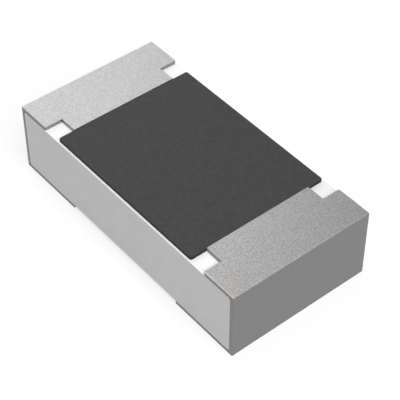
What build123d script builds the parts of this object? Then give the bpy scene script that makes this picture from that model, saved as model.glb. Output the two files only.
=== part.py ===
from build123d import *
import os

# Chip resistor in the 1608 metric (0603) case size. A white alumina block carries a printed
# resistive film under two protective coats, and a plated terminal wraps round each end.
# Sizes are in millimetres. X runs along the chip, Y across it and Z up. The origin is the
# middle of the block, from which its ends, sides, top and underside are worked out.

# Overall size, over the plating
chip_length = 1.600
chip_width = 0.805
chip_height = 0.391

# Layers of a terminal, from the ceramic outwards
electrode_thickness = 0.008
nickel_thickness = 0.006
tin_thickness = 0.007

# Reach of a terminal: the full-width wrap on top, the narrower neck that carries on from it to
# the coat, and the solder land underneath
wrap_length = 0.200
neck_length = 0.100
land_length = 0.400

# Bare ceramic on each side of the neck, and on each side of the coat
notch_width = 0.0995
coat_margin = 0.010

# How far each printed layer reaches beyond the one before it, along the chip
film_overlap = 0.050
glass_margin = 0.030
coat_overlap = 0.020

# Printed layers: the film's thickness and its distance inside the electrode's sides, the
# glass above the film, and the coat above the glass
film_thickness = 0.004
film_inset = 0.050
glass_cover = 0.003
coat_cover = 0.0025

# Laser cut that trims the film to its value: in from the film's front edge, then along it
trim_kerf = 0.030
trim_start = 0.120
trim_lead_in = 0.015
trim_depth = 0.200
trim_run = 0.220

# Rounded edges and corners
ceramic_edge_radius = 0.015
tin_edge_radius = 0.002
tin_corner_radius = 0.010
coat_corner_radius = 0.010
coat_edge_radius = 0.001

# The ceramic block is what the terminals leave of the overall size
plating_thickness = nickel_thickness + tin_thickness
terminal_thickness = electrode_thickness + plating_thickness
ceramic_length = chip_length - 2 * terminal_thickness
ceramic_height = chip_height - 2 * terminal_thickness
ceramic_top = ceramic_height / 2
ceramic_bottom = -ceramic_top

# Ends of the features along the chip, as distances from its middle
ceramic_end = ceramic_length / 2
rounding_start = ceramic_end - ceramic_edge_radius
wrap_end = chip_length / 2 - wrap_length
land_end = chip_length / 2 - land_length
coat_end = wrap_end - neck_length
glass_end = coat_end - coat_overlap
film_end = glass_end - glass_margin
electrode_end = film_end - film_overlap

# Widths across the chip
neck_width = chip_width - 2 * notch_width
electrode_width = chip_width - 2 * plating_thickness
electrode_neck_width = neck_width - 2 * plating_thickness
film_width = electrode_neck_width - 2 * film_inset
glass_width = film_width + 2 * glass_margin
coat_width = chip_width - 2 * coat_margin

# Heights above the ceramic's top face
film_top = electrode_thickness + film_thickness
glass_top = film_top + glass_cover
coat_top = glass_top + coat_cover

sides = {"left": -1, "right": 1}


def strip(side, near, far, width, mode=Mode.ADD):
    """Rectangle across the chip, between two distances from the chip's middle."""
    with Locations((side * (near + far) / 2, 0)):
        Rectangle(far - near, width, mode=mode)


def from_middle(edges, side, place):
    """Edges grouped by their distance along one half of the chip: group 0 is the innermost."""
    return edges.group_by(Axis.X, reverse=side < 0)[place]


def trim_cut():
    """Cuts the laser's L-shaped kerf through the part being built, down to the ceramic."""
    film_edge = -film_width / 2
    with BuildSketch(Plane.XY.offset(ceramic_top)) as kerf:
        with Locations((-trim_start, film_edge - trim_lead_in)):
            Rectangle(trim_kerf, trim_lead_in + trim_depth, align=(Align.MIN, Align.MIN))
        with Locations((-trim_start, film_edge + trim_depth)):
            Rectangle(trim_run, trim_kerf, align=(Align.MIN, Align.MAX))
    extrude(kerf.sketch, amount=glass_top, mode=Mode.SUBTRACT)


def plated_block(side, skin, cover):
    """Block inside a plated layer's outer faces. They lie a skin outside the ceramic, and the
    layer's free edges are set back by the thickness of what covers it."""
    far = ceramic_end + skin
    with BuildSketch(Plane.XZ) as side_view:
        with BuildLine():
            Polyline(
                (side * coat_end, 0),
                (side * coat_end, ceramic_top + skin),
                (side * far, ceramic_top + skin),
                (side * far, ceramic_bottom - skin),
                (side * (land_end + cover), ceramic_bottom - skin),
                (side * (land_end + cover), 0),
                close=True,
            )
        make_face()
    extrude(side_view.sketch, amount=chip_width / 2 - cover, both=True)
    with BuildSketch(Plane.XY.offset(ceramic_top)) as notches:
        strip(side, coat_end, wrap_end + cover, chip_width)
        strip(side, coat_end, wrap_end + cover, neck_width - 2 * cover, mode=Mode.SUBTRACT)
    extrude(notches.sketch, amount=skin, mode=Mode.SUBTRACT)


os.makedirs("parts", exist_ok=True)

# Ceramic substrate: an alumina block with its end edges rounded
with BuildPart() as ceramic_substrate:
    with BuildSketch():
        Rectangle(ceramic_length, chip_width)
    extrude(amount=ceramic_top, both=True)
    fillet(ceramic_substrate.edges().filter_by(Axis.Y), ceramic_edge_radius)
ceramic_substrate.part.label = "ceramic_substrate"
export_step(ceramic_substrate.part, "parts/ceramic_substrate.step")

# Inner electrodes: printed on the top and bottom faces, and joined round the end
top_prints = []
electrodes = {}
for name, side in sides.items():
    # The top print narrows to a neck that runs in under the coat, to the resistive film
    with BuildPart() as top_electrode:
        with BuildSketch(Plane.XY.offset(ceramic_top)):
            strip(side, wrap_end + plating_thickness, rounding_start, electrode_width)
            strip(side, electrode_end, wrap_end + plating_thickness, electrode_neck_width)
        extrude(amount=electrode_thickness)
    top_electrode.part.label = f"top_electrode_{name}"
    export_step(top_electrode.part, f"parts/top_electrode_{name}.step")

    with BuildPart() as bottom_electrode:
        with BuildSketch(Plane.XY.offset(ceramic_bottom)):
            strip(side, land_end + plating_thickness, rounding_start, electrode_width)
        extrude(amount=-electrode_thickness)
    bottom_electrode.part.label = f"bottom_electrode_{name}"
    export_step(bottom_electrode.part, f"parts/bottom_electrode_{name}.step")

    # The end electrode is the end of an even ring round the ceramic, from print to print
    with BuildPart() as end_electrode:
        with BuildSketch(Plane.XZ):
            RectangleRounded(
                ceramic_length + 2 * electrode_thickness,
                ceramic_height + 2 * electrode_thickness,
                ceramic_edge_radius + electrode_thickness,
            )
        extrude(amount=electrode_width / 2, both=True)
        split(
            bisect_by=Plane.YZ.offset(side * rounding_start),
            keep=Keep.TOP if side > 0 else Keep.BOTTOM,
        )
        add(ceramic_substrate.part, mode=Mode.SUBTRACT)
    end_electrode.part.label = f"end_electrode_{name}"
    export_step(end_electrode.part, f"parts/end_electrode_{name}.step")

    top_prints.append(top_electrode.part)
    electrodes[name] = [top_electrode.part, bottom_electrode.part, end_electrode.part]

# Resistive film: printed on the ceramic, and stepped up over the ends of both electrodes
with BuildPart() as resistive_element:
    with BuildSketch(Plane.XZ):
        with Locations((0, ceramic_top)):
            Rectangle(2 * electrode_end, film_thickness, align=(Align.CENTER, Align.MIN))
        with Locations((film_end, ceramic_top)):
            Rectangle(film_overlap + film_thickness, film_top, align=(Align.MAX, Align.MIN))
        mirror(about=Plane.YZ)
    extrude(amount=film_width / 2, both=True)
    add(top_prints, mode=Mode.SUBTRACT)
    trim_cut()
resistive_element.part.label = "resistive_element"
export_step(resistive_element.part, "parts/resistive_element.step")

# Glass passivation: the first coat, laser-cut together with the film under it
with BuildPart() as glass_passivation:
    with BuildSketch(Plane.XY.offset(ceramic_top)):
        Rectangle(2 * glass_end, glass_width)
    extrude(amount=glass_top)
    add([resistive_element.part, *top_prints], mode=Mode.SUBTRACT)
    trim_cut()
glass_passivation.part.label = "glass_passivation"
export_step(glass_passivation.part, "parts/glass_passivation.step")

# Overcoat: the dark second coat, which seals the glass and fills the laser cut
with BuildPart() as overcoat:
    with BuildSketch(Plane.XY.offset(ceramic_top)):
        RectangleRounded(2 * coat_end, coat_width, coat_corner_radius)
    extrude(amount=coat_top)
    fillet(overcoat.faces().sort_by(Axis.Z)[-1].edges(), coat_edge_radius)
    add([glass_passivation.part, resistive_element.part, *top_prints], mode=Mode.SUBTRACT)
overcoat.part.label = "overcoat"
export_step(overcoat.part, "parts/overcoat.step")

# Plated layers: the nickel barrier, and the tin over it, wrap the whole terminal. Each covers
# the side edges of the layer below, and stops against the end of the coat.
for name, side in sides.items():
    with BuildPart() as nickel_barrier:
        nickel_skin = electrode_thickness + nickel_thickness
        plated_block(side, nickel_skin, tin_thickness)
        end_edges = from_middle(nickel_barrier.edges().filter_by(Axis.Y), side, -1)
        fillet(end_edges, ceramic_edge_radius + nickel_skin)
        add([ceramic_substrate.part, *electrodes[name]], mode=Mode.SUBTRACT)
    nickel_barrier.part.label = f"nickel_barrier_{name}"
    export_step(nickel_barrier.part, f"parts/nickel_barrier_{name}.step")

    with BuildPart() as tin_termination:
        plated_block(side, terminal_thickness, 0)
        wrap_edges = from_middle(tin_termination.edges().filter_by(Axis.Z), side, -2)
        wrap_corners = wrap_edges.group_by(Axis.Y)[0] + wrap_edges.group_by(Axis.Y)[-1]
        fillet(wrap_corners, tin_corner_radius)
        faces = tin_termination.faces()
        top_edges = faces.sort_by(Axis.Z)[-1].edges()
        bottom_edges = faces.sort_by(Axis.Z)[0].edges()
        end_edges = faces.sort_by(Axis.X)[-1 if side > 0 else 0].edges()
        # The top edge against the coat stays sharp
        outer_edges = top_edges + bottom_edges + end_edges - from_middle(top_edges, side, 0)
        fillet(outer_edges, tin_edge_radius)
        inner_layers = [ceramic_substrate.part, *electrodes[name], nickel_barrier.part]
        add(inner_layers, mode=Mode.SUBTRACT)
    tin_termination.part.label = f"tin_termination_{name}"
    export_step(tin_termination.part, f"parts/tin_termination_{name}.step")
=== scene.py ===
import math

import bpy
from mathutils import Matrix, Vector


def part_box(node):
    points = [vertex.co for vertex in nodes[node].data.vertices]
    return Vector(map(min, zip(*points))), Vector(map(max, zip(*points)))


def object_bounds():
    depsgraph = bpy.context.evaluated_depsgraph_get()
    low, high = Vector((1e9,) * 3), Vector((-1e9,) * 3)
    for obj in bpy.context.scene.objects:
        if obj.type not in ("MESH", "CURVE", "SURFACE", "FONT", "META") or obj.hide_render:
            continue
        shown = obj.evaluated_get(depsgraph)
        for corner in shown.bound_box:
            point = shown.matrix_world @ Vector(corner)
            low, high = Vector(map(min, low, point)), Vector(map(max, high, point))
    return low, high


MM = 0.001
MICRON = 1e-6

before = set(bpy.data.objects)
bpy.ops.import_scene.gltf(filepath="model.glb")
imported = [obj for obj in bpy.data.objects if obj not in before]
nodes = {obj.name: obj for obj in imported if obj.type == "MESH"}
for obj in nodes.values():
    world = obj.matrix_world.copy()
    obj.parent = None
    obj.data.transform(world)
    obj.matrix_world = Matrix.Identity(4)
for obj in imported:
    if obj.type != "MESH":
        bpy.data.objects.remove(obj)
cad_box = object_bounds()
scene = bpy.context.scene

# Distances from the origin, which is the middle of the block
HALF_LENGTH = cad_box[1].x
HALF_WIDTH = cad_box[1].y
TIN_TOP = cad_box[1].z
CERAMIC_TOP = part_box("ceramic_substrate")[1].z
FLOOR_LEVEL = cad_box[0].z

# Camera: at the photograph's angle and distance. Its lens and sensor are in millimetres.
SENSOR = 36.0
LENS = 122.52
CAMERA_PLACE = Vector((3.6410, -2.9117, 4.5779)) * MM
CAMERA_TARGET = Vector((0.1390, -0.0445, 0.0500)) * MM
NEAREST_SEEN = 0.5 * MM
FARTHEST_SEEN = 1000 * MM

camera_data = bpy.data.cameras.new("camera")
camera_data.sensor_width = SENSOR
camera_data.lens = LENS
camera_data.clip_start = NEAREST_SEEN
camera_data.clip_end = FARTHEST_SEEN
camera = bpy.data.objects.new("camera", camera_data)
camera.location = CAMERA_PLACE
camera.rotation_euler = (CAMERA_TARGET - CAMERA_PLACE).to_track_quat("-Z", "Y").to_euler()
scene.collection.objects.link(camera)
scene.camera = camera
scene.view_settings.view_transform = "Standard"


# How far up or down a face looks, where 1 is straight: upright up to the first value, and flat
# from the second
UPRIGHT = 0.1
FLAT = 0.4


class Shader:
    """A material's node tree, built from small calls."""

    def __init__(self, name):
        self.material = bpy.data.materials.new(name)
        self.material.use_nodes = True
        self.tree = self.material.node_tree
        self.tree.nodes.clear()
        self.out = self.tree.nodes.new("ShaderNodeOutputMaterial")

    def node(self, kind, **settings):
        made = self.tree.nodes.new(kind)
        for key, value in settings.items():
            setattr(made, key, value)
        return made

    def link(self, source, target):
        self.tree.links.new(source, target)

    def place(self):
        """The point on the object, in metres in the part's own frame."""
        return self.node("ShaderNodeTexCoord").outputs["Object"]

    def split(self, vector):
        """The X, Y and Z of a vector."""
        made = self.node("ShaderNodeSeparateXYZ")
        self.link(vector, made.inputs["Vector"])
        return made.outputs

    def math(self, operation, *values):
        """An operation on values that vary over the surface, or on one of them and a number."""
        made = self.node("ShaderNodeMath", operation=operation)
        for socket, value in zip(made.inputs, values):
            if isinstance(value, (int, float)):
                socket.default_value = value
            else:
                self.link(value, socket)
        return made.outputs[0]

    def product(self, first, *others):
        for other in others:
            first = self.math("MULTIPLY", first, other)
        return first

    def total(self, first, *others):
        for other in others:
            first = self.math("ADD", first, other)
        return first

    def spread(self, value, low, high, start=0.0, end=1.0):
        """Maps value from start..end to low..high, and holds it there beyond them."""
        made = self.node("ShaderNodeMapRange")
        self.link(value, made.inputs["Value"])
        made.inputs["From Min"].default_value = start
        made.inputs["From Max"].default_value = end
        made.inputs["To Min"].default_value = low
        made.inputs["To Max"].default_value = high
        return made.outputs["Result"]

    def noise(self, size, detail=2.0):
        """Noise between 0 and 1 whose features are about size metres across."""
        made = self.node("ShaderNodeTexNoise")
        made.inputs["Scale"].default_value = 1 / size
        made.inputs["Detail"].default_value = detail
        self.link(self.place(), made.inputs["Vector"])
        return made.outputs["Fac"]

    def vary(self, noise, middle, swing, margin=0.3):
        """Noise as a middle value, give or take swing. The margin at both ends of the noise,
        where it seldom goes, is cut off."""
        return self.spread(noise, middle - swing, middle + swing, margin, 1 - margin)

    def level(self):
        """1 on the faces that lie flat, and 0 on those that stand upright."""
        facing = self.split(self.node("ShaderNodeNewGeometry").outputs["True Normal"])
        flatness = self.math("ABSOLUTE", facing["Z"])
        return self.spread(flatness, 0.0, 1.0, start=UPRIGHT, end=FLAT)

    def near(self, point, reach):
        """1 up to the first distance of reach from a point, falling to 0 at the second."""
        made = self.node("ShaderNodeVectorMath", operation="DISTANCE")
        self.link(self.place(), made.inputs[0])
        made.inputs[1].default_value = point
        return self.spread(made.outputs["Value"], 1.0, 0.0, *reach)

    def blend(self, first, second, factor):
        """From the first colour to the second, by a factor that varies over the surface."""
        made = self.node("ShaderNodeMix", data_type="RGBA")
        self.link(factor, made.inputs["Factor"])
        for name, colour in (("A", first), ("B", second)):
            made.inputs[name].default_value = (*colour, 1)
        return made.outputs["Result"]

    def tint(self, colour, factor):
        """A colour, plain or varying, times a factor that varies over the surface."""
        made = self.node("ShaderNodeMix", data_type="RGBA", blend_type="MULTIPLY")
        made.inputs["Factor"].default_value = 1.0
        if isinstance(colour, tuple):
            made.inputs["A"].default_value = (*colour, 1)
        else:
            self.link(colour, made.inputs["A"])
        grey = self.node("ShaderNodeCombineColor")
        for socket in grey.inputs:
            self.link(factor, socket)
        self.link(grey.outputs["Color"], made.inputs["B"])
        return made.outputs["Result"]

    def bump(self, height, distance):
        """The surface's normal, tilted by a relief that is distance high where height is 1."""
        made = self.node("ShaderNodeBump")
        made.inputs["Strength"].default_value = 1.0
        made.inputs["Distance"].default_value = distance
        self.link(height, made.inputs["Height"])
        return made.outputs["Normal"]

    def principled(self, **values):
        """The surface shader: a plain value is set on its socket, and a node's output is linked."""
        made = self.node("ShaderNodeBsdfPrincipled")
        for key, value in values.items():
            socket = made.inputs[key.replace("_", " ")]
            if isinstance(value, (int, float)):
                socket.default_value = value
            elif isinstance(value, tuple):
                socket.default_value = (*value, 1)
            else:
                self.link(value, socket)
        self.link(made.outputs["BSDF"], self.out.inputs["Surface"])


def dress(obj, material):
    obj.data.materials.clear()
    obj.data.materials.append(material)


# Tin, with its warm patch and a painted shade in its notch corners
TIN_COLOUR = (0.475, 0.475, 0.475)
TOP_ROUGHNESS = 0.42
UPRIGHT_ROUGHNESS = 0.75
WARM_COLOUR = (0.498, 0.475, 0.467)
WARM_PLACE = (0.74 * MM, -0.37 * MM, TIN_TOP)
WARM_REACH = (0.02 * MM, 0.09 * MM)
# Painted shade: how far the dark spot in a notch's inner corner reaches, and its tone
CORNER_SHADE_REACH = (3 * MICRON, 9 * MICRON)
CORNER_SHADE_TONE = 0.1

# Upright faces: their tone, as a share of the tops' tone, darker partly for their duller finish
# and partly as painted shade, and the painted light added to it at the foot and the head of a
# step, for the light the ceramic throws back. A step lies further in than the skin of the outer
# faces.
UPRIGHT_FINISH_AND_SHADE = 0.643
STEP_FOOT_LIGHT = 0.3
STEP_HEAD_LIGHT = 0.08
OUTER_SKIN = 5 * MICRON

# Painted highlight on the top's edges: fully bright up to the first distance from the outer
# face, and plain from the second
EDGE_HIGHLIGHT_FULL = 3.5 * MICRON
EDGE_HIGHLIGHT_NONE = 6.5 * MICRON


def tin(name, grain, contrast, front_highlight, end_highlight, corner_shade):
    """Matte tin: speckled on the flat prints, even and duller on the upright faces, which are also
    darkened by painted shade.

    The step walls get painted light that grows towards the ceramic, for the light it throws back.
    The top's front and end edges can get a painted highlight, more here and less there. There is a
    warm patch at the front right corner, and a painted shade at a point."""
    s = Shader(name)
    level = s.level()
    place = s.split(s.place())

    speckle = s.vary(s.noise(grain, detail=0.0), middle=0.0, swing=contrast, margin=0.2)
    # Painted highlight along the top's front and end edges, broken up by noise
    front = s.spread(place["Y"], front_highlight, 0.0, EDGE_HIGHLIGHT_FULL - HALF_WIDTH, EDGE_HIGHLIGHT_NONE - HALF_WIDTH)
    end = s.spread(place["X"], 0.0, end_highlight, HALF_LENGTH - EDGE_HIGHLIGHT_NONE, HALF_LENGTH - EDGE_HIGHLIGHT_FULL)
    highlight_break = s.vary(s.noise(size=30 * MICRON), middle=1.0, swing=0.4, margin=0.35)
    edge_highlight = s.product(s.math("MAXIMUM", front, end), highlight_break)

    upright = s.spread(level, 1.0, 0.0)
    inside_x = s.math("LESS_THAN", s.math("ABSOLUTE", place["X"]), HALF_LENGTH - OUTER_SKIN)
    inside_y = s.math("LESS_THAN", s.math("ABSOLUTE", place["Y"]), HALF_WIDTH - OUTER_SKIN)
    # Painted light on the step walls, brightest at their foot, for the light the white ceramic
    # throws back
    painted_step_light = s.spread(place["Z"], STEP_FOOT_LIGHT, STEP_HEAD_LIGHT, CERAMIC_TOP, TIN_TOP)
    step = s.product(inside_x, inside_y, painted_step_light)

    # Upright faces are darker, partly for their duller finish and partly as painted shade
    tone = s.total(
        s.spread(level, UPRIGHT_FINISH_AND_SHADE, 1.0),
        s.product(s.total(speckle, edge_highlight), level),
        s.product(step, upright),
    )
    # Painted shade: dark at a point in the inner corner of the front notch
    tone = s.product(tone, s.spread(s.near(corner_shade, CORNER_SHADE_REACH), 1.0, CORNER_SHADE_TONE))
    colour = s.blend(TIN_COLOUR, WARM_COLOUR, s.near(WARM_PLACE, WARM_REACH))
    relief = s.product(s.noise(size=8 * MICRON, detail=3.0), level)
    s.principled(
        Base_Color=s.tint(colour, tone),
        Metallic=1.0,
        Roughness=s.spread(level, UPRIGHT_ROUGHNESS, TOP_ROUGHNESS),
        Normal=s.bump(relief, distance=0.3 * MICRON),
    )
    return s.material


# Ceramic and coat
CERAMIC_COLOUR = (0.885, 0.885, 0.885)
# Painted shade on the ceramic top in the back right notch: its middle, reach and tone
NOTCH_SHADE_PLACE = (0.55 * MM, 0.353 * MM, CERAMIC_TOP)
NOTCH_SHADE_REACH = (0.075 * MM, 0.1 * MM)
NOTCH_SHADE_TONE = 0.925
COAT_COLOUR = (0.05, 0.05, 0.05)
COAT_EDGE_SHADE = 0.4


def alumina():
    """White ceramic: a fine grain over a slow, faint change of tone. On top it has a little
    painted shade in the back right notch."""
    s = Shader("alumina")
    grain = s.noise(size=4 * MICRON)
    slow = s.noise(size=60 * MICRON, detail=1.0)
    tone = s.total(s.vary(grain, middle=1.0, swing=0.015), s.vary(slow, middle=0.0, swing=0.015))
    # Painted shade in the back right notch
    notch = s.product(s.near(NOTCH_SHADE_PLACE, NOTCH_SHADE_REACH), s.level())
    tone = s.product(tone, s.spread(notch, 1.0, NOTCH_SHADE_TONE))
    s.principled(
        Base_Color=s.tint(CERAMIC_COLOUR, tone),
        Roughness=0.6,
        Specular_IOR_Level=0.3,
        Normal=s.bump(grain, distance=0.15 * MICRON),
    )
    return s.material


def overcoat():
    """Dark printed coat: faintly mottled on top, with painted shade on its upright edges."""
    s = Shader("overcoat")
    mottle = s.noise(size=22 * MICRON, detail=1.0)
    top_tone = s.vary(mottle, middle=1.0, swing=0.08)
    # Painted shade on the upright edges
    tone = s.product(top_tone, s.spread(s.level(), COAT_EDGE_SHADE, 1.0))
    s.principled(
        Base_Color=s.tint(COAT_COLOUR, tone),
        Roughness=0.6,
        Specular_IOR_Level=0.2,
        Normal=s.bump(mottle, distance=0.3 * MICRON),
    )
    return s.material


def plain_metal(name, colour):
    """Metal of a hidden layer: a fine grain in its tone and shine."""
    s = Shader(name)
    grain = s.noise(size=6 * MICRON)
    s.principled(
        Base_Color=s.tint(colour, s.vary(grain, middle=1.0, swing=0.1)),
        Metallic=1.0,
        Roughness=s.spread(grain, 0.35, 0.5),
        Normal=s.bump(grain, distance=0.3 * MICRON),
    )
    return s.material


def fired(name, colour, roughness):
    """Fired paste of a hidden layer: a fine grain in its tone."""
    s = Shader(name)
    grain = s.noise(size=5 * MICRON)
    s.principled(
        Base_Color=s.tint(colour, s.vary(grain, middle=1.0, swing=0.15)),
        Roughness=roughness,
        Normal=s.bump(grain, distance=0.2 * MICRON),
    )
    return s.material


# The right terminal has the stronger grain, and a painted highlight on its edges. Each has a
# painted shade in the inner corner of its front notch.
tins = {
    "left": tin(
        "tin_left", grain=8 * MICRON, contrast=0.118, front_highlight=0.0, end_highlight=0.0,
        corner_shade=(-0.6 * MM, -0.303 * MM, 0.188 * MM),
    ),
    "right": tin(
        "tin_right", grain=7.3 * MICRON, contrast=0.22, front_highlight=0.58, end_highlight=0.15,
        corner_shade=(0.5 * MM, -0.303 * MM, 0.19 * MM),
    ),
}
silver = plain_metal("silver_print", colour=(0.8, 0.79, 0.76))
nickel = plain_metal("nickel", colour=(0.66, 0.64, 0.6))
film = fired("resistive_film", colour=(0.1, 0.1, 0.1), roughness=0.45)
glass = fired("passivation_glass", colour=(0.3, 0.36, 0.32), roughness=0.25)
dress(nodes["ceramic_substrate"], alumina())
dress(nodes["overcoat"], overcoat())
dress(nodes["resistive_element"], film)
dress(nodes["glass_passivation"], glass)
for side in ("left", "right"):
    dress(nodes[f"tin_termination_{side}"], tins[side])
    dress(nodes[f"nickel_barrier_{side}"], nickel)
    for print_name in ("top", "bottom", "end"):
        dress(nodes[f"{print_name}_electrode_{side}"], silver)

# Ground: a floor, and a low curved wall round it that the level views see behind the object
FLOOR_RADIUS = 54 * MM
WALL_WIDTH = 6 * MM
WALL_HEIGHT = 10 * MM
WALL_STEPS = 8
RING_POINTS = 96
GROUND_COLOUR = (0.35, 0.35, 0.35)

# Its own light, which only the camera and reflections see, grows from the object outwards,
# where the lamps' light fades
NEAR_LIGHT = 0.64
FAR_LIGHT = 0.92
NEAR_REACH = (3 * MM, 20 * MM)


def ground():
    """Pale matte ground that looks white to the camera and in reflections, shadows apart."""
    s = Shader("floor")
    path = s.node("ShaderNodeLightPath").outputs
    seen = s.math("MAXIMUM", path["Is Camera Ray"], path["Is Glossy Ray"])
    seen = s.math("MAXIMUM", seen, path["Is Transmission Ray"])
    middle = s.near((0.0, 0.0, FLOOR_LEVEL), NEAR_REACH)
    s.principled(
        Base_Color=GROUND_COLOUR,
        Roughness=1.0,
        Specular_IOR_Level=0.0,
        Emission_Color=(1.0, 1.0, 1.0),
        Emission_Strength=s.product(seen, s.spread(middle, FAR_LIGHT, NEAR_LIGHT)),
    )
    return s.material


# The first point is the floor's middle, and the rings of points follow, from the floor's rim up
points = [(0.0, 0.0, FLOOR_LEVEL)]
for step in range(WALL_STEPS + 1):
    turn = math.pi / 2 * step / WALL_STEPS
    radius = FLOOR_RADIUS + WALL_WIDTH * math.sin(turn)
    height = FLOOR_LEVEL + WALL_HEIGHT * (1 - math.cos(turn))
    for k in range(RING_POINTS):
        angle = 2 * math.pi * k / RING_POINTS
        points.append((radius * math.cos(angle), radius * math.sin(angle), height))
faces = []
for k in range(RING_POINTS):
    after = (k + 1) % RING_POINTS
    faces.append((0, 1 + k, 1 + after))
    for low in range(1, 1 + WALL_STEPS * RING_POINTS, RING_POINTS):
        high = low + RING_POINTS
        faces.append((low + k, high + k, high + after, low + after))
mesh = bpy.data.meshes.new("floor")
mesh.from_pydata(points, [], faces)
mesh.update()
floor = bpy.data.objects.new("floor", mesh)
floor.data.materials.append(ground())
scene.collection.objects.link(floor)

# World: even soft light
WORLD_LIGHT = 0.26

world = bpy.data.worlds.new("world")
scene.world = world
world.use_nodes = True
background = world.node_tree.nodes["Background"]
background.inputs["Color"].default_value = (1, 1, 1, 1)
background.inputs["Strength"].default_value = WORLD_LIGHT


def softbox(name, azimuth, elevation, distance, width, height, radiance):
    """Rectangular lamp aimed at the object. Azimuth is its bearing, anticlockwise from +X, and
    radiance is the tone in which a mirror shows it, where 1 is white."""
    data = bpy.data.lights.new(name, "AREA")
    data.shape = "RECTANGLE"
    data.size = width
    data.size_y = height
    data.energy = radiance * math.pi * width * height
    lamp = bpy.data.objects.new(name, data)
    bearing, rise = math.radians(azimuth), math.radians(elevation)
    ahead = math.cos(rise)
    towards = Vector((math.cos(bearing) * ahead, math.sin(bearing) * ahead, math.sin(rise)))
    lamp.location = towards * distance
    lamp.rotation_euler = towards.to_track_quat("Z", "Y").to_euler()
    scene.collection.objects.link(lamp)


# Lamps: the key stands behind the object, where the top of the tin mirrors it to the camera. The
# main and top lamps light the ceramic and the coat from the right.
softbox(
    "key", azimuth=160, elevation=42, distance=12 * MM,
    width=8 * MM, height=8 * MM, radiance=1.61,
)
softbox(
    "main", azimuth=345, elevation=50, distance=24 * MM,
    width=20 * MM, height=20 * MM, radiance=2.03,
)
softbox(
    "top", azimuth=330, elevation=64, distance=24 * MM,
    width=26 * MM, height=28 * MM, radiance=1.72,
)
